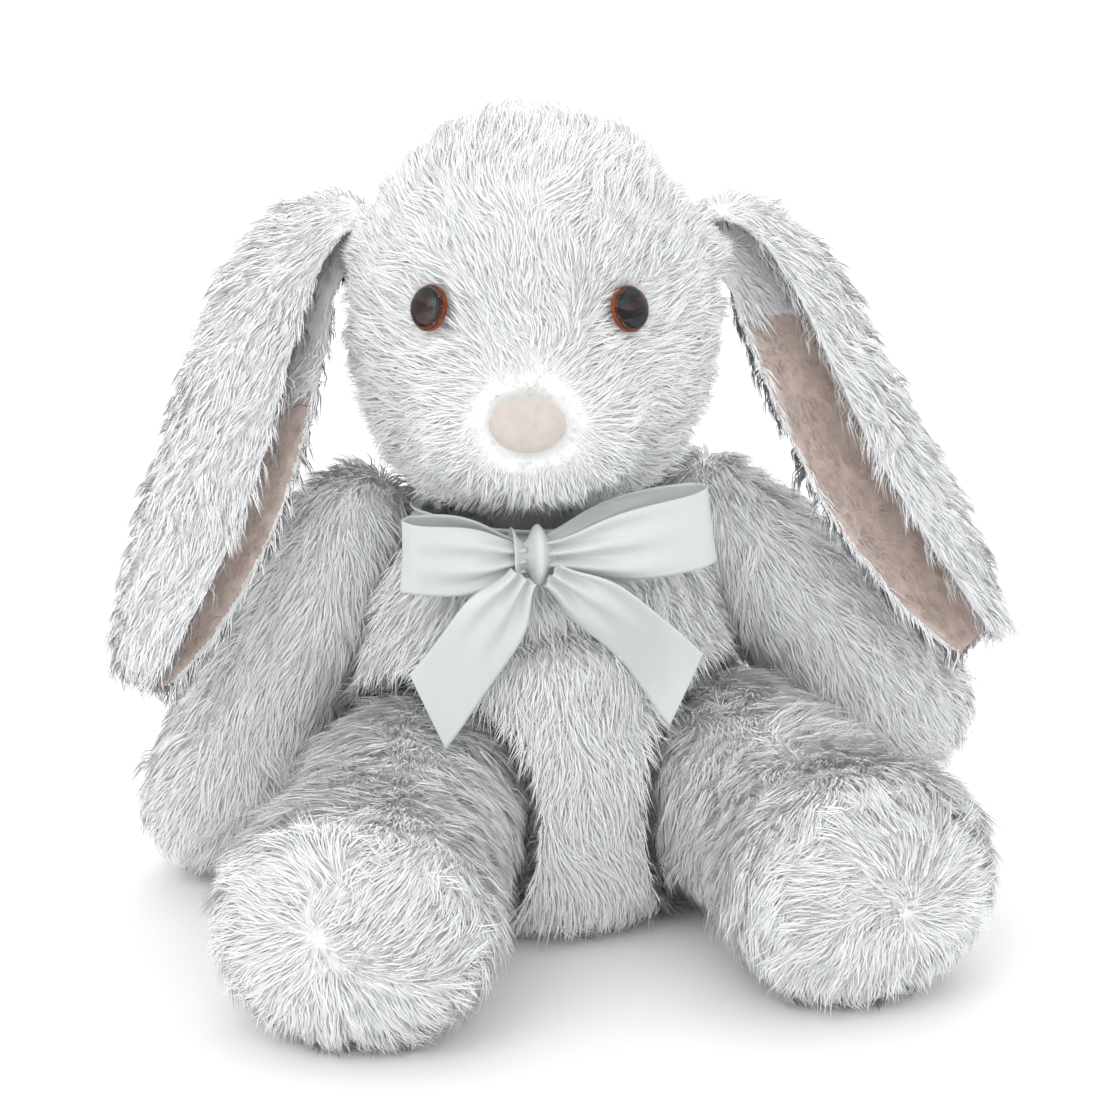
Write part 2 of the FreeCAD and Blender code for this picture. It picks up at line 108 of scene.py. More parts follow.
def add_camera():
    flat = math.cos(ELEVATION)
    away = Vector((math.sin(AZIMUTH) * flat, -math.cos(AZIMUTH) * flat, math.sin(ELEVATION)))
    data = bpy.data.cameras.new("camera")
    data.sensor_width = 36
    data.lens = FOCAL_LENGTH
    camera = bpy.data.objects.new("camera", data)
    SCENE.collection.objects.link(camera)
    look(camera, AIM + DISTANCE * away, AIM)
    SCENE.camera = camera


def add_lamp(name, place, size, power, colour=(1, 1, 1)):
    data = bpy.data.lights.new(name, "AREA")
    data.shape = "SQUARE"
    data.size = size
    data.energy = power
    data.color = colour
    lamp = bpy.data.objects.new(name, data)
    SCENE.collection.objects.link(lamp)
    look(lamp, Vector(place), (0, -0.03, 0.13))


def add_stage():
    world = bpy.data.worlds.new("studio")
    world.use_nodes = True
    world.node_tree.nodes["Background"].inputs["Color"].default_value = (0.97, 0.985, 1, 1)
    world.node_tree.nodes["Background"].inputs["Strength"].default_value = 1.1
    SCENE.world = world
    SCENE.view_settings.view_transform = "Standard"
    add_lamp("key", (-0.75, -1.0, 1.25), 1.0, 5.5, (1, 0.995, 0.985))
    add_lamp("front", (0.25, -1.6, 0.75), 0.9, 1.6)
    add_lamp("over", (0.1, 0.5, 1.5), 0.9, 3.0)
    add_lamp("behind", (0.5, 1.5, 0.8), 0.9, 4)
    build = bmesh.new()
    bmesh.ops.create_grid(build, x_segments=8, y_segments=8, size=6)
    mesh = bpy.data.meshes.new("floor")
    build.to_mesh(mesh)
    build.free()
    floor = bpy.data.objects.new("floor", mesh)
    floor.location.z = -0.0005
    SCENE.collection.objects.link(floor)
    mesh.materials.append(surface("floor_paper", (0.95, 0.95, 0.95), (0.97, 0.97, 0.97), 12, 0.9))


# ---------------------------------------------------------------- materials

def started(name):
    """A new node material, with its nodes, its links and its shader."""
    material = bpy.data.materials.new(name)
    material.use_nodes = True
    nodes = material.node_tree.nodes
    return material, nodes, material.node_tree.links, nodes["Principled BSDF"]


def ramp_between(nodes, low, high, first, last):
    """A colour ramp from first at low to last at high."""
    ramp = nodes.new("ShaderNodeValToRGB")
    for element, position, colour in zip(ramp.color_ramp.elements, (low, high), (first, last)):
        element.position = position
        element.color = (*colour, 1)
    return ramp


def set_sockets(shader, sockets):
    for socket, value in sockets.items():
        shader.inputs[socket.replace("_", " ")].default_value = value


def surface(name, dark, light, scale, rough, bump=0.0, bump_scale=800, rough_spread=0.06, stretch=(1, 1, 1),
            **sockets):
    """A Principled surface whose colour, roughness and relief vary by noise."""
    material, nodes, links, shader = started(name)
    where = nodes.new("ShaderNodeTexCoord")
    mapping = nodes.new("ShaderNodeMapping")
    mapping.inputs["Scale"].default_value = stretch
    links.new(where.outputs["Object"], mapping.inputs["Vector"])
    mottle = nodes.new("ShaderNodeTexNoise")
    mottle.inputs["Scale"].default_value = scale
    mottle.inputs["Detail"].default_value = 4
    links.new(mapping.outputs["Vector"], mottle.inputs["Vector"])
    ramp = ramp_between(nodes, 0.3, 0.7, dark, light)
    links.new(mottle.outputs["Fac"], ramp.inputs["Fac"])
    links.new(ramp.outputs["Color"], shader.inputs["Base Color"])
    spread = nodes.new("ShaderNodeMapRange")
    spread.inputs["To Min"].default_value = max(rough - rough_spread, 0)
    spread.inputs["To Max"].default_value = min(rough + rough_spread, 1)
    links.new(mottle.outputs["Fac"], spread.inputs["Value"])
    links.new(spread.outputs["Result"], shader.inputs["Roughness"])
    if bump:
        grain = nodes.new("ShaderNodeTexNoise")
        grain.inputs["Scale"].default_value = bump_scale
        grain.inputs["Detail"].default_value = 3
        links.new(mapping.outputs["Vector"], grain.inputs["Vector"])
        relief = nodes.new("ShaderNodeBump")
        relief.inputs["Strength"].default_value = bump
        relief.inputs["Distance"].default_value = 0.0004
        links.new(grain.outputs["Fac"], relief.inputs["Height"])
        links.new(relief.outputs["Normal"], shader.inputs["Normal"])
    set_sockets(shader, sockets)
    return material


def pile_surface(name, root, tip, **sockets):
    """Strands that are darker at the root, a little lighter and darker in patches."""
    material, nodes, links, shader = started(name)
    along = nodes.new("ShaderNodeAttribute")
    along.attribute_name = "along"
    ramp = ramp_between(nodes, 0.0, 0.75, root, tip)
    links.new(along.outputs["Fac"], ramp.inputs["Fac"])
    where = nodes.new("ShaderNodeTexCoord")
    patch = nodes.new("ShaderNodeTexNoise")
    patch.inputs["Scale"].default_value = 90
    links.new(where.outputs["Object"], patch.inputs["Vector"])
    tone = nodes.new("ShaderNodeMapRange")
    tone.inputs["To Min"].default_value = 0.955
    tone.inputs["To Max"].default_value = 1.02
    links.new(patch.outputs["Fac"], tone.inputs["Value"])
    mixed = nodes.new("ShaderNodeVectorMath")
    mixed.operation = "SCALE"
    links.new(ramp.outputs["Color"], mixed.inputs[0])
    links.new(tone.outputs["Result"], mixed.inputs["Scale"])
    links.new(mixed.outputs["Vector"], shader.inputs["Base Color"])
    shader.inputs["Roughness"].default_value = PILE_ROUGHNESS
    shader.inputs["Specular IOR Level"].default_value = 0.25
    set_sockets(shader, sockets)
    return material


# ---------------------------------------------------------------- mesh helpers

def add_object(name, mesh):
    obj = bpy.data.objects.new(name, mesh)
    SCENE.collection.objects.link(obj)
    return obj


def apply_modifiers(obj):
    bpy.context.view_layer.update()
    graph = bpy.context.evaluated_depsgraph_get()
    mesh = bpy.data.meshes.new_from_object(obj.evaluated_get(graph))
    obj.modifiers.clear()
    obj.data = mesh


def joined(name, nodes, balls=()):
    """One mesh of the given CAD nodes, with a ball at each (centre, radius) in balls."""
    build = bmesh.new()
    for node in nodes:
        build.from_mesh(NODES[node].data)
    for centre, radius in balls:
        bmesh.ops.create_icosphere(build, subdivisions=3, radius=radius, matrix=Matrix.Translation(centre))
    mesh = bpy.data.meshes.new(name)
    build.to_mesh(mesh)
    build.free()
    return add_object(name, mesh)


def places(mesh, what="co"):
    """Each vertex's place, or its normal."""
    found = np.empty(len(mesh.vertices) * 3, np.float32)
    mesh.vertices.foreach_get(what, found)
    return found.reshape(-1, 3).astype(float)


def directions(mesh):
    return places(mesh, "normal")


def put_places(mesh, co):
    mesh.vertices.foreach_set("co", np.asarray(co, np.float32).ravel())
    mesh.update()


def unit(v):
    return v / np.maximum(np.linalg.norm(v, axis=-1, keepdims=True), 1e-9)


def tree_of(objects):
    verts, polys, base = [], [], 0
    for obj in objects:
        co = places(obj.data)
        verts.extend(map(tuple, co))
        polys.extend([base + i for i in p.vertices] for p in obj.data.polygons)
        base += len(co)
    return BVHTree.FromPolygons(verts, polys)


def wander(points, scale, seed):
    """A smooth random vector at each point, which changes over about scale metres."""
    size = 24
    grid = np.random.default_rng(seed).normal(0, 1, (size, size, size, 3))
    at = points / scale + 1000.0
    low = np.floor(at).astype(int)
    part = at - low
    part = part * part * (3 - 2 * part)
    found = np.zeros_like(points)
    for dx in (0, 1):
        for dy in (0, 1):
            for dz in (0, 1):
                share = (np.where(dx, part[:, 0], 1 - part[:, 0]) * np.where(dy, part[:, 1], 1 - part[:, 1])
                         * np.where(dz, part[:, 2], 1 - part[:, 2]))
                cell = grid[(low[:, 0] + dx) % size, (low[:, 1] + dy) % size, (low[:, 2] + dz) % size]
                found += share[:, None] * cell
    return found


# ---------------------------------------------------------------- stuffed covers

def cover(name, nodes, voxel=CELL, inset=PILE_DEPTH, smooth=6, balls=()):
    """The cloth of a stuffed piece: a closed skin inset from the outside of its CAD solids."""
    obj = joined(name, nodes, balls)
    remesh = obj.modifiers.new("skin", "REMESH")
    remesh.mode = "VOXEL"
    remesh.voxel_size = voxel
    remesh.use_smooth_shade = True
    ease = obj.modifiers.new("ease", "SMOOTH")
    ease.factor = 0.5
    ease.iterations = smooth
    shrink = obj.modifiers.new("inset", "DISPLACE")
    shrink.mid_level = 0
    shrink.strength = -inset
    apply_modifiers(obj)
    co = places(obj.data)
    co[:, 2] = np.maximum(co[:, 2], FLOOR_ROOM)
    put_places(obj.data, co)
    return obj


def stuff(obj, held, cap, pressure=4.0):
    """Swells a cover with cloth pressure. held gives 1 where seams keep it in place, and cap how far it may move."""
    rest = places(obj.data)
    group = obj.vertex_groups.new(name="sewn")
    weight = np.clip(held(rest), 0, 1)
    for level in (0.25, 0.5, 0.75, 1.0):
        picked = np.nonzero(np.abs(weight - level) <= 0.125)[0]
        if len(picked):
            group.add(picked.tolist(), level, "REPLACE")
    cloth = obj.modifiers.new("stuffing", "CLOTH")
    cloth.settings.use_pressure = True
    cloth.settings.uniform_pressure_force = pressure
    cloth.settings.effector_weights.gravity = 0
    cloth.settings.vertex_group_mass = "sewn"
    for step in range(1, 21):
        SCENE.frame_set(step)
    graph = bpy.context.evaluated_depsgraph_get()
    swollen = bpy.data.meshes.new_from_object(obj.evaluated_get(graph))
    move = places(swollen) - rest
    obj.modifiers.clear()
    SCENE.frame_set(1)
    size = np.linalg.norm(move, axis=1, keepdims=True)
    move *= np.minimum(1, cap / np.maximum(size, 1e-9))
    put_places(obj.data, rest + move)
    bpy.data.meshes.remove(swollen)
    obj.vertex_groups.clear()


def crease(obj, depth_at):
    """Draws the cover in by depth_at(points, normals) along its normals."""
    co, no = places(obj.data), directions(obj.data)
    put_places(obj.data, co - no * depth_at(co, no)[:, None])


def fine(obj):
    """Divides the cover once, and smooths it."""
    extra = obj.modifiers.new("fine", "SUBSURF")
    extra.levels = extra.render_levels = 1
    apply_modifiers(obj)
    obj.data.shade_smooth()


def line(distance, width):
    """1 on a line and less away from it."""
    return np.exp(-(distance / width) ** 2)


def head_frame(co):
    """Places turned back into the head's own axes."""
    turn = np.array(HEAD_TURN.to_3x3().inverted())
    return co @ turn.T


# ---------------------------------------------------------------- pile

def scatter(mesh, count, seed):
    """Evenly spread points on a mesh, with the normal at each."""
    rng = np.random.default_rng(seed)
    mesh.calc_loop_triangles()
    corner = np.empty(len(mesh.loop_triangles) * 3, np.int32)
    mesh.loop_triangles.foreach_get("vertices", corner)
    corner = corner.reshape(-1, 3)
    co, no = places(mesh), directions(mesh)
    a, b, c = (co[corner[:, i]] for i in range(3))
    area = np.linalg.norm(np.cross(b - a, c - a), axis=1) / 2
    edge = np.cumsum(area)
    pick = np.searchsorted(edge, (np.arange(count) + rng.random(count)) / count * edge[-1])
    pick = np.minimum(pick, len(area) - 1)
    u, v = rng.random(count), rng.random(count)
    u, v = np.where(u + v > 1, 1 - u, u), np.where(u + v > 1, 1 - v, v)
    w = 1 - u - v
    share = np.stack([w, u, v], 1)[:, :, None]
    at = (co[corner[pick]] * share).sum(1)
    normal = unit((no[corner[pick]] * share).sum(1))
    order = rng.permutation(count)
    return at[order], normal[order], float(edge[-1])


# One strand is a three-sided spike: three points at its root, three half way and its tip
LEVELS = np.array([0, 0, 0, 0.5, 0.5, 0.5, 1.0])
ACROSS = np.array([-0.5, 0.5, 0, -0.42, 0.42, 0, 0])
UNDER = np.array([0, 0, -0.6, 0, 0, -0.5, 0])
CORNERS = np.array([1, 0, 3, 4, 0, 2, 5, 3, 2, 1, 4, 5, 4, 3, 6, 3, 5, 6, 5, 4, 6])
STARTS = np.array([0, 4, 8, 12, 15, 18])


def strands(name, root, normal, lay, length, lift, width, body, material, seed):
    """Pile as one mesh of tapered spikes. lay is each strand's direction along the cloth, lift its rise over its
    length. Strands near each other lean together into tufts."""
    rng = np.random.default_rng(seed)
    count = len(root)
    lay = unit(lay - normal * (lay * normal).sum(1, keepdims=True))
    middles = rng.permutation(count)[:max(8, int(count * min(1, 1.0 / (PILE_PER_M2 * CLUMP_APART ** 2))))]
    tree = KDTree(len(middles))
    for i, m in enumerate(middles):
        tree.insert(root[m], i)
    tree.balance()
    near = np.array([tree.find(p)[1] for p in root])
    chief = middles[near]
    tilt = rng.normal(0, 0.3, (len(middles), 3))[near]
    lay = unit(0.55 * lay + 0.45 * lay[chief] + 0.55 * tilt + rng.normal(0, 0.12, (count, 3)))
    lay = unit(lay - normal * (lay * normal).sum(1, keepdims=True))
    tall = (1 + 0.22 * rng.normal(0, 1, len(middles)))[near] * (1 + 0.13 * rng.normal(0, 1, count))
    tall = np.clip(tall, 0.5, 1.5)
    long = length * tall
    rise = long * np.clip(lift * (1 + 0.25 * rng.normal(0, 1, len(middles))[near]), 0.15, 0.95)
    reach = np.sqrt(np.maximum(long ** 2 * 0.86 - rise ** 2, (0.25 * long) ** 2))
    side = unit(np.cross(normal, lay) + 0.45 * rng.normal(0, 1, (count, 1)) * normal)
    draw = (root[chief] - root) * (CLUMP_PULL * rng.uniform(0.5, 1.2, count))[:, None]
    curve = np.sin(LEVELS * math.pi / 2)
    over = 1 - np.cos(LEVELS * math.pi / 2)
    wide = width * np.clip(0.85 + 0.25 * rng.normal(0, 1, count), 0.45, 1.4)
    top = (normal[:, None] * curve[None, :, None] - lay[:, None] * (1 - over)[None, :, None])
    co = (root[:, None] - normal[:, None] * 0.0006
          + normal[:, None] * (rise[:, None] * curve)[:, :, None]
          + lay[:, None] * (reach[:, None] * over)[:, :, None]
          + draw[:, None] * (LEVELS ** 1.5)[None, :, None]
          + side[:, None] * (wide[:, None] * ACROSS)[:, :, None]
          + top * (wide[:, None] * UNDER)[:, :, None])
    co[:, :, 2] = np.maximum(co[:, :, 2], LOWEST_TIP)
    shade = unit(0.86 * normal[:, None] + 0.14 * top).reshape(-1, 3)

    mesh = bpy.data.meshes.new(name)
    mesh.vertices.add(count * 7)
    mesh.vertices.foreach_set("co", co.astype(np.float32).ravel())
    first = np.arange(count)[:, None]
    mesh.loops.add(count * len(CORNERS))
    mesh.loops.foreach_set("vertex_index", (first * 7 + CORNERS).astype(np.int32).ravel())
    mesh.polygons.add(count * len(STARTS))
    mesh.polygons.foreach_set("loop_start", (first * len(CORNERS) + STARTS).astype(np.int32).ravel())
    mesh.update(calc_edges=True)
    along = mesh.attributes.new("along", "FLOAT", "POINT")
    along.data.foreach_set("value", np.tile(LEVELS, count).astype(np.float32))
    cells = math.ceil(math.sqrt(count))
    uv = np.empty((count, 7, 2))
    uv[:, :, 0] = (first % cells + 0.5 + ACROSS * 0.7) / cells
    uv[:, :, 1] = (first // cells + 0.12 + LEVELS * 0.76) / cells
    layer = mesh.uv_layers.new(name="OFBake")
    layer.data.foreach_set("uv", uv[:, CORNERS].astype(np.float32).ravel())
    mesh.shade_smooth()
    mesh.normals_split_custom_set_from_vertices(shade)
    mesh.materials.append(material)
    obj = add_object(name, mesh)
    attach(obj, body)


def room_round(root, normal, others, ribbon):
    """How much of each strand's height there is room for: less in creases, and little under the ribbon."""
    room = np.ones(len(root))
    for i in range(len(root)):
        p = Vector(root[i])
        _, _, _, far = others.find_nearest(p, 0.011)
        if far is not None:
            room[i] = min(max(far / 0.0105, 0.2), 1)
        if ribbon is not None:
            _, _, _, gap = ribbon.ray_cast(p, Vector(normal[i]), 0.012)
            if gap is not None:
                room[i] = min(room[i], max(gap - 0.0008, 0.0004) / 0.006)
    return room


def pile(name, skin, body, flow, others, ribbon, material, seed, shorter=None, density=1.0, only=None):
    """Pile over a whole cover, in as many pieces as it needs. shorter gives each strand's share of the full length,
    and only picks the strands to keep."""
    _, _, area = scatter(skin.data, 10, seed)
    count = int(area * PILE_PER_M2 * density * (1.0))
    width = PILE_WIDTH * 1.0
    root, normal, _ = scatter(skin.data, count, seed)
    keep = root[:, 2] > LOWEST_ROOT
    if only is not None:
        keep &= only(root, normal)
    root, normal = root[keep], normal[keep]
    room = room_round(root, normal, others, ribbon)
    stay = room > 0.03
    root, normal, room = root[stay], normal[stay], room[stay]
    lift = PILE_LIFT * room
    length = PILE_LENGTH * (0.55 + 0.45 * room)
    if shorter is not None:
        length = length * shorter(root)
    swirl = wander(root, 0.016, seed + 1) * 0.34 + wander(root, 0.006, seed + 2) * 0.2
    lay = unit(unit(flow(root, normal)) + swirl)
    parts = max(1, math.ceil(len(root) / MOST_STRANDS))
    for part in range(parts):
        own = np.arange(part, len(root), parts)
        label = name if parts == 1 else f"{name}_{part + 1}"
        strands(label, root[own], normal[own], lay[own], length[own], lift[own], width, body, material,
                seed + 10 + part)


def away_from(point, down=0.25):
    """A lay that runs out from a point, and down."""
    at = np.array(point)

    def flow(root, normal):
        lay = unit(root - at)
        lay[:, 2] -= down
        return lay
    return flow


# ---------------------------------------------------------------- satin

def bezier(points, count):
    """Evenly spaced points on a smooth line through the given ones."""
    p = np.array(points, float)
    p = np.vstack([2 * p[0] - p[1], p, 2 * p[-1] - p[-2]])
    found = []
    for i in range(1, len(p) - 2):
        for t in np.arange(0, 1, 0.05):
            found.append(0.5 * (2 * p[i] + (p[i + 1] - p[i - 1]) * t
                                + (2 * p[i - 1] - 5 * p[i] + 4 * p[i + 1] - p[i + 2]) * t * t
                                + (3 * p[i] - 3 * p[i + 1] + p[i + 2] - p[i - 1]) * t ** 3))
    found.append(p[-2])
    found = np.array(found)
    far = np.concatenate([[0], np.cumsum(np.linalg.norm(np.diff(found, axis=0), axis=1))])
    even = np.linspace(0, far[-1], count)
    return np.stack([np.interp(even, far, found[:, k]) for k in range(3)], 1), far[-1]


def ribbon(name, path, across, width, pinch, body, material, replaced, rests_on, steps=90, pleats=2.5, end_cut=0.0,
           held="gathered"):
    """A satin strip along a line. across gives its width's direction at each share of the length, and pinch how far
    it is gathered there, where its spare width goes into pleats. end_cut slants its far end."""
    centre, length = bezier(path, steps)
    columns = 25
    v = np.linspace(-0.5, 0.5, columns)
    rows = []
    for j in range(columns):
        shift = 1 + end_cut * v[j]
        share = np.linspace(0, 1, steps) * shift
        line_at = np.stack([np.interp(share, np.linspace(0, 1, steps), centre[:, k]) for k in range(3)], 1)
        past = np.maximum(share - 1, 0)[:, None] * length
        line_at = line_at + unit(centre[-1] - centre[-3]) * past
        ahead = unit(np.gradient(line_at, axis=0))
        wide = unit(np.array([across(s) for s in share]))
        wide = unit(wide - ahead * (wide * ahead).sum(1, keepdims=True))
        out = np.cross(ahead, wide)
        tight = np.array([pinch(s) for s in share])
        chord = width * (1 - 0.62 * tight)
        swell = 2 * chord / (2 * math.pi * pleats) * np.sqrt(np.maximum(width / chord - 1, 0)) * 1.1
        ripple = np.sin(2 * math.pi * pleats * v[j] + 0.6)
        rows.append(line_at + wide * (chord * v[j])[:, None] + out * (swell * ripple)[:, None])
    grid = np.array(rows)
    build = bmesh.new()
    verts = [[build.verts.new(p) for p in row] for row in grid]
    for j in range(columns - 1):
        for i in range(steps - 1):
            build.faces.new((verts[j][i], verts[j][i + 1], verts[j + 1][i + 1], verts[j + 1][i]))
    build.normal_update()
    mesh = bpy.data.meshes.new(name)
    build.to_mesh(mesh)
    build.free()
    obj = add_object(name, mesh)
    mesh.materials.append(material)
    thick = obj.modifiers.new("thick", "SOLIDIFY")
    thick.thickness = SATIN_THICKNESS
    thick.offset = 0
    apply_modifiers(obj)
    obj.data.shade_smooth()
    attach(obj, body)
    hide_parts(replaced)
    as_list(rests_on)
    return obj


def steady(value):
    """The same value all along a ribbon."""
    return lambda share: value


def loop_path(side):
    """The line along a loop's middle, and the direction in which the loop stands out."""
    sign = SIDES[side]
    reach, gap, rise, back = {"left": (59, 8.2, 7, 1), "right": (42, 7.4, 1, 6)}[side]
    out = Vector((sign * math.cos(math.radians(rise)), 0, math.sin(math.radians(rise))))
    out = Matrix.Rotation(sign * math.radians(back), 3, "Z") @ out
    deep = out.cross(Vector((0, 0, 1))).normalized() * sign
    # deep points to the back of the loop
    if deep.y < 0:
        deep = -deep
    shape = [(3, -2.0), (0.22 * reach, -0.62 * gap), (0.55 * reach, -0.98 * gap), (0.85 * reach, -0.85 * gap),
             (0.98 * reach, -0.35 * gap), (reach, 0.15 * gap), (0.93 * reach, 0.75 * gap), (0.7 * reach, gap),
             (0.4 * reach, 0.8 * gap), (0.18 * reach, 0.45 * gap), (3, 1.5)]
    return [KNOT_AT + out * a * MM + deep * b * MM for a, b in shape], out


def add_bow(satin):
    """Two loops, two ends, the knot and the band round the neck."""
    made = []
    for side in SIDES:
        path, out = loop_path(side)
        up = out.cross(Vector((0, -1, 0))).normalized()
        if up.z < 0:
            up = -up
        lean = Vector((0, -0.20, 0)) if side == "right" else Vector((0, 0.06, 0))

        def across(share, up=up, lean=lean):
            return up + lean * math.sin(math.pi * share)

        def pinch(share):
            return max(math.exp(-(share / 0.16) ** 2), math.exp(-((1 - share) / 0.16) ** 2))
        made.append(ribbon(f"satin_loop_{side}", path, across, RIBBON_WIDTH, pinch, "torso", satin, f"bow_loop_{side}",
                           ["satin_knot"], steps=120))
    # the right end is broad and nearly flat; the left one turns its edge forward as it falls
    for side, sign in SIDES.items():
        start = KNOT_AT + Vector((sign * 0.0045, -0.0078, -0.0045))
        splay = math.radians({"left": 48, "right": 38}[side])
        reach = {"left": 0.058, "right": 0.053}[side]
        fall = Vector((sign * math.sin(splay), 0, -math.cos(splay)))
        flat = Vector((math.cos(splay), 0, sign * math.sin(splay)))
        path = []
        for s in np.linspace(0, 1, 7):
            forward = (s * reach) ** 2 / 0.38
            sway = math.sin(math.pi * s) * (0.004 if side == "left" else -0.0015)
            path.append(start + fall * reach * s + Vector((sway * sign, -forward, 0)))

        def across(share, flat=flat, fall=fall, side=side):
            turn = math.radians(34) * math.sin(math.pi * min(share, 1) * 0.9) if side == "left" else \
                math.radians(-9) * math.sin(math.pi * min(share, 1))
            return Matrix.Rotation(turn, 3, fall) @ flat

        def pinch(share):
            return math.exp(-(share / 0.22) ** 2)
        cut = 0.22 if side == "right" else -0.2
        made.append(ribbon(f"satin_end_{side}", path, across, RIBBON_WIDTH, pinch, f"ribbon_{side}", satin,
                           f"ribbon_end_{side}", ["satin_knot"], end_cut=cut, held="hung"))
    # knot: a strip wrapped once round the gathers
    ring = []
    for a in np.linspace(-math.pi * 0.5, math.pi * 1.5, 17):
        ring.append(KNOT_AT + Vector((0, 0.0050 * math.cos(a), 0.0070 * math.sin(a))))
    made.append(ribbon("satin_knot", ring, steady(Vector((1, 0, 0))), RIBBON_WIDTH, steady(0.7), "torso", satin,
                       "bow_knot", ["satin_loop_left"], steps=60, pleats=1.5, held="folded"))
    # the band under the chin pile
    low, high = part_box("neck_band")
    centre = (low + high) / 2
    half = (high - low) / 2
    co = places(NODES["neck_band"].data)
    bearing = np.arctan2(co[:, 1] - centre.y, co[:, 0] - centre.x)
    far = np.hypot(co[:, 0] - centre.x, co[:, 1] - centre.y)
    around = []
    for a in np.linspace(-math.pi / 2, math.pi * 1.5, 33)[:-1]:
        close = np.abs((bearing - a + math.pi) % (2 * math.pi) - math.pi) < 0.15
        r = np.median(far[close]) if close.any() else float(half.x)
        around.append(centre + Vector((r * math.cos(a), r * math.sin(a), 0)))
    around.append(around[0])
    made.append(ribbon("satin_band", around, steady(Vector((0, 0, 1))), RIBBON_WIDTH, steady(0.9), "torso", satin,
                       "neck_band", ["torso_cover"], steps=160))
    return made


# ---------------------------------------------------------------- the toy

def leg_lay(side):
    """Down over the thigh and shin, and out from the middle of the sole."""
    hip, foot = np.array(HIP[side]), np.array(FOOT_AT[side])
    along = unit(foot - hip)

    def flow(root, normal):
        off = root - hip
        spread = unit(off - (off @ along)[:, None] * along)
        sole = np.clip((normal @ along - 0.25) / 0.5, 0, 1)[:, None]
        fall = np.array([0, 0, -0.9]) + 0.35 * along
        whorl = spread + np.cross(along, spread) * 0.3 + [0, 0, -0.25] + wander(root, 0.013, 8) * 0.45
        return sole * whorl + (1 - sole) * fall
    return flow


def face_length(root):
    """Pile is short close round the eyes and the nose."""
    room = np.ones(len(root))
    for at in EYE_AT.values():
        far = np.linalg.norm(root - np.array(at), axis=1)
        room = np.minimum(room, np.clip((far - 0.0050) / 0.010, 0.75, 1))
    far = np.linalg.norm(root - np.array(NOSE_AT), axis=1)
    room = np.minimum(room, np.clip((far - 0.006) / 0.022, 0.42, 1))
    return 0.85 * room


def head_lay(root, normal):
    """Back from the nose, round the eyes, and down over the cheeks."""
    lay = unit(root - np.array(NOSE_AT))
    for at in EYE_AT.values():
        off = root - np.array(at)
        far = np.linalg.norm(off, axis=1, keepdims=True)
        lay = lay + 0.25 * off / np.maximum(far, 1e-6) * np.exp(-(far / 0.016) ** 2)
    lay[:, 2] -= 0.12
    return lay


def torso_lay(root, normal):
    """Down, out from the middle, and forward over the shoulders."""
    lay = normal * 0.0
    lay[:, 2] = -1
    lay[:, 0] = 0.25 * np.sign(root[:, 0]) * np.minimum(np.abs(root[:, 0]) / 0.03, 1)
    lay[:, 1] = np.where(normal[:, 2] > 0.6, -0.4, 0)
    return lay


def coat(obj, *materials):
    obj.data.materials.clear()
    for material in materials:
        obj.data.materials.append(material)


def replaced_nodes():
    """The CAD nodes that each cover stands for."""
    found = {"torso": ["tummy_panel", "back_panel_left", "back_panel_right", "seat_panel", "torso_stuffing",
                       "seat_pellet_bag"],
             "head": ["head_gusset", "chin_panel", "head_side_left", "head_side_right", "head_stuffing"],
             "neck": ["neck_stuffing"], "tail": ["tail_cover", "tail_stuffing"]}
    for side in SIDES:
        found[f"arm_{side}"] = [f"arm_outer_{side}", f"arm_inner_{side}", f"arm_stuffing_{side}"]
        found[f"leg_{side}"] = [f"leg_upper_{side}", f"leg_under_{side}", f"foot_sole_{side}",
                                f"leg_stuffing_{side}", f"foot_pellet_bag_{side}"]
    return found


# ---- seams: 1 where a seam holds the cloth while it swells

def to_eyes(co):
    return [np.linalg.norm(co - np.array(at), axis=1) for at in EYE_AT.values()]


def head_seams(co):
    own = head_frame(co)
    crown = line(np.abs(own[:, 0]) - SIDE_SEAM, 0.003) * (own[:, 2] > 0.185)
    return np.maximum(crown, sum(line(far, 0.012) for far in to_eyes(co)))


def torso_seams(co):
    return np.maximum(line(co[:, 1] + 0.010, 0.004), line(co[:, 2] - 0.009, 0.005))


def limb_seams(root, tip):
    along = (tip - root).normalized()
    flat = np.array(along.cross(Vector((0, 0, 1))).normalized())

    def seams(co):
        off = co - np.array(root)
        depth = off @ np.array(along)
        level = off - depth[:, None] * np.array(along)
        return line((level * np.cross(flat, np.array(along))).sum(1), 0.004)
    return seams


# ---- folds: how far the cloth is drawn in

def head_folds(co, no):
    own = head_frame(co)
    crown = 0.0012 * line(np.abs(own[:, 0]) - SIDE_SEAM, 0.0035) * np.clip((own[:, 2] - 0.182) / 0.01, 0, 1)
    return crown + sum(0.0022 * line(far, 0.013) for far in to_eyes(co))


def torso_folds(co, no):
    """The fold under the bow, the belly's swell below it and the seat's seam."""
    front = co[:, 1] < -0.03
    fold = 0.0085 * line(co[:, 2] - (0.100 + 0.004 * np.cos((co[:, 0] - 0.01) / 0.02)), 0.0034)
    fold *= np.clip(1.5 - np.abs(co[:, 0] - 0.006) / 0.026, 0, 1) * front
    belly = -0.0028 * line(co[:, 2] - 0.089, 0.009) * np.clip(1.5 - np.abs(co[:, 0]) / 0.03, 0, 1)
    belly *= front
    return fold + belly + 0.0016 * line(co[:, 2] - 0.009, 0.004)


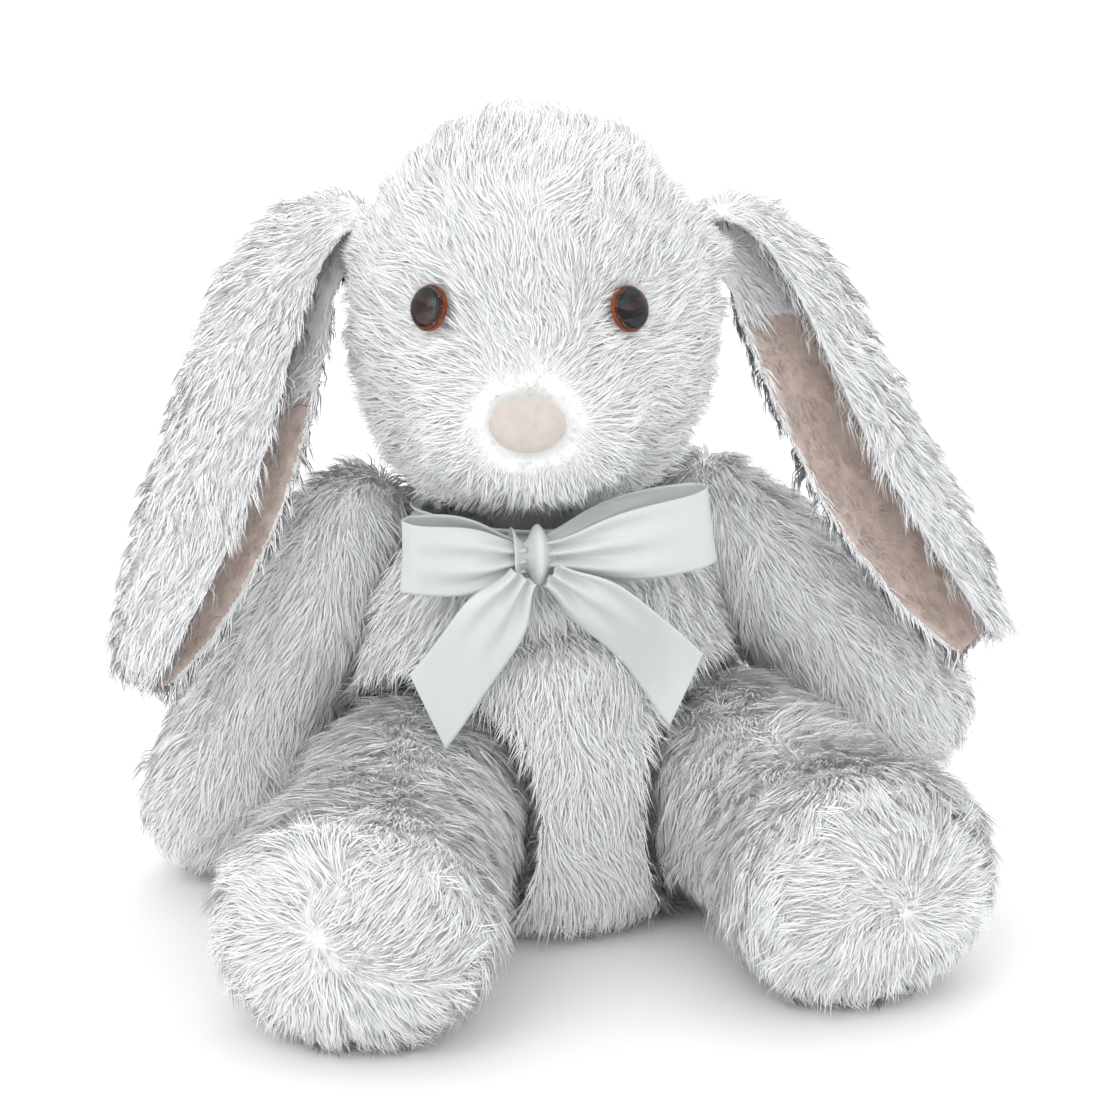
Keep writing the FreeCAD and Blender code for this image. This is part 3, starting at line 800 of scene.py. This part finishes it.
def add_covers(cloth):
    """The covers of the torso, head, neck, tail and limbs, by body."""
    replaced = replaced_nodes()
    # the pellet bags, last in their lists, lie inside and don't shape the cloth
    # the cloth runs on across each ear's socket, where the ear is sewn to it
    sewn = [(at + (HEAD_AT - at).normalized() * 0.008, SEWN_TO_EAR) for at in EAR_AT.values()]
    skins = {"torso": cover("torso_cover", replaced["torso"][:-1]),
             "head": cover("head_cover", replaced["head"], balls=sewn),
             "neck": cover("neck_cover", replaced["neck"], inset=3.0 * MM),
             "tail": cover("tail_skin", replaced["tail"], voxel=3.0 * MM)}
    for side in SIDES:
        skins[f"arm_{side}"] = cover(f"arm_cover_{side}", replaced[f"arm_{side}"])
        skins[f"leg_{side}"] = cover(f"leg_cover_{side}", replaced[f"leg_{side}"][:-1])

    stuff(skins["torso"], torso_seams, 0.0016)
    stuff(skins["head"], head_seams, 0.0014)
    for side in SIDES:
        stuff(skins[f"leg_{side}"], limb_seams(HIP[side], FOOT_AT[side]), 0.0014)
    crease(skins["head"], head_folds)
    crease(skins["torso"], torso_folds)

    for key, skin in skins.items():
        fine(skin)
        coat(skin, cloth)
        skin.data.name = skin.name
    for key, skin in skins.items():
        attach(skin, key)
        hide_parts(*replaced[key])
    return skins


def in_lining(points, lining, outer):
    """Whether each point is nearer to the ear's lining than to its plush."""
    return np.array([lining.find_nearest(Vector(p))[3] < outer.find_nearest(Vector(p))[3] for p in points])


def add_ear(side, cloth, velour):
    """One folded leaf, white outside and pink inside, with the trees of its plush and its lining."""
    skin = cover(f"ear_cover_{side}", [f"ear_outer_{side}", f"ear_lining_{side}"], 2.4 * MM, 1.9 * MM, smooth=3)
    outer = tree_of([NODES[f"ear_outer_{side}"]])
    lining = tree_of([NODES[f"ear_lining_{side}"]])
    fine(skin)
    proud = places(skin.data) + directions(skin.data) * EAR_PROUD
    pink = in_lining(proud, lining, outer) & (proud[:, 2] < EAR_OPENS[side])
    coat(skin, cloth, velour)
    for polygon in skin.data.polygons:
        polygon.material_index = int(pink[polygon.vertices[0]])
    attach(skin, f"ear_{side}")
    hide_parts(f"ear_outer_{side}", f"ear_lining_{side}")
    return skin, outer, lining


def add_nose(velour):
    nose = cover("nose_pad", ["nose_cover", "nose_padding"], 1.2 * MM, 0.9 * MM, smooth=4)
    fine(nose)
    coat(nose, velour)
    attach(nose, "head")
    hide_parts("nose_cover", "nose_padding")
    return nose


def add_label(tape):
    """A tape out of the seat's back seam."""
    low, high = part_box("care_label")
    middle = (low + high) / 2
    path = [Vector((middle.x, low.y + 0.001, middle.z + 0.001)), Vector((middle.x, (low.y + high.y) / 2, middle.z)),
            Vector((middle.x, high.y, middle.z - 0.002))]
    label = ribbon("woven_label", path, steady(Vector((1, 0, 0))), 0.013, steady(0.0), "torso", tape, "care_label",
                   ["torso_cover"], steps=24, held="hung")


def ear_pile(side, skin, trees, others, white, pink, seed):
    """White pile on the ear's outside, and short pink nap inside it."""
    outer, lining = trees

    def is_white(root, normal):
        inside = in_lining(root + normal * EAR_PROUD, lining, outer)
        return ~inside | (root[:, 2] + wander(root, 0.006, 5)[:, 0] * 0.002 > EAR_OPENS[side])

    flow = away_from(EAR_AT[side], 0.6)
    pile(f"ear_pile_{side}", skin, f"ear_{side}", flow, others, None, white, seed, only=is_white,
         shorter=lambda root: np.full(len(root), 0.85))
    pile(f"ear_nap_{side}", skin, f"ear_{side}", flow, others, None, pink, seed + 20, density=1.3,
         only=lambda root, normal: ~is_white(root, normal), shorter=lambda root: np.full(len(root), 0.26))


def add_pile(skins, ear_trees, nose, bow, white, pink):
    """Pile on every cover but the neck's, laid flat under the bow."""
    under_bow = tree_of([b for b in bow if b.name != "satin_band"])
    seed = 100
    for key, skin in skins.items():
        if key == "neck":
            continue
        seed += 40
        side = key[4:]
        others = tree_of([s for k, s in skins.items() if k != key] + ([nose] if key == "head" else []))
        if key == "head":
            pile("head_pile", skin, key, head_lay, others, None, white, seed, shorter=face_length)
        elif key == "torso":
            pile("torso_pile", skin, key, torso_lay, others, under_bow, white, seed)
        elif key == "tail":
            pile("tail_pile", skin, key, away_from(TAIL_AT), others, None, white, seed)
        elif key.startswith("arm"):
            pile(f"{key}_pile", skin, key, away_from(SHOULDER[side], 0.5), others, under_bow, white, seed)
        elif key.startswith("leg"):
            pile(f"{key}_pile", skin, key, leg_lay(side), others, under_bow, white, seed)
        else:
            ear_pile(side, skin, ear_trees[side], others, white, pink, seed)


def dress_eyes():
    """The eyes stay as their CAD solids, with better materials."""
    iris = surface("brown_iris", (0.16, 0.035, 0.012), (0.34, 0.10, 0.04), 420, 0.4, rough_spread=0.08,
                   Specular_IOR_Level=0.1)
    pupil = surface("black_pupil", (0.003, 0.0025, 0.0025), (0.008, 0.007, 0.006), 500, 0.4, Specular_IOR_Level=0.08)
    lens = surface("clear_dome", (0.97, 0.96, 0.95), (1, 1, 1), 300, 0.03, rough_spread=0.015,
                   Transmission_Weight=1.0, IOR=1.3)
    plastic = surface("washer_plastic", (0.78, 0.78, 0.76), (0.88, 0.88, 0.86), 500, 0.5, bump=0.1)
    for side in SIDES:
        for part, material in (("lens", lens), ("iris", iris), ("pupil", pupil), ("washer", plastic)):
            node = NODES[f"eye_{part}_{side}"]
            coat(node, material)
            node.data.shade_smooth()


def main():
    add_camera()
    add_stage()
    white = pile_surface("white_pile", (0.95, 0.952, 0.948), (0.985, 0.992, 0.992), Sheen_Weight=0.35,
                         Sheen_Roughness=0.5)
    pink_nap = pile_surface("pink_nap", (0.56, 0.41, 0.36), (0.71, 0.61, 0.55))
    cloth = surface("white_backing", (0.86, 0.865, 0.86), (0.93, 0.935, 0.93), 300, 0.9, bump=0.5, bump_scale=1400)
    velour = surface("pink_velour", (0.57, 0.43, 0.39), (0.67, 0.55, 0.50), 220, 0.85, bump=0.5, bump_scale=2600,
                     Sheen_Weight=0.5, Sheen_Roughness=0.4)
    nose_velour = surface("nose_velour", (0.56, 0.49, 0.45), (0.62, 0.56, 0.52), 260, 0.85, bump=0.5,
                          bump_scale=2600, Sheen_Weight=0.4)
    satin = surface("white_satin", (0.57, 0.60, 0.59), (0.63, 0.655, 0.645), 60, 0.30, bump=0.12, bump_scale=5200,
                    rough_spread=0.05, stretch=(1, 1, 0.12), Sheen_Weight=0.25, Specular_IOR_Level=0.6,
                    Anisotropic=0.5, Coat_Weight=0.15, Coat_Roughness=0.25)
    tape = surface("label_weave", (0.84, 0.84, 0.83), (0.92, 0.92, 0.91), 900, 0.8, bump=0.4, bump_scale=3000)
    dress_eyes()
    skins = add_covers(cloth)
    ear_trees = {}
    for side in SIDES:
        skins[f"ear_{side}"], *ear_trees[side] = add_ear(side, cloth, velour)
    nose = add_nose(nose_velour)
    bow = add_bow(satin)
    add_label(tape)
    add_pile(skins, ear_trees, nose, bow, white, pink_nap)


main()
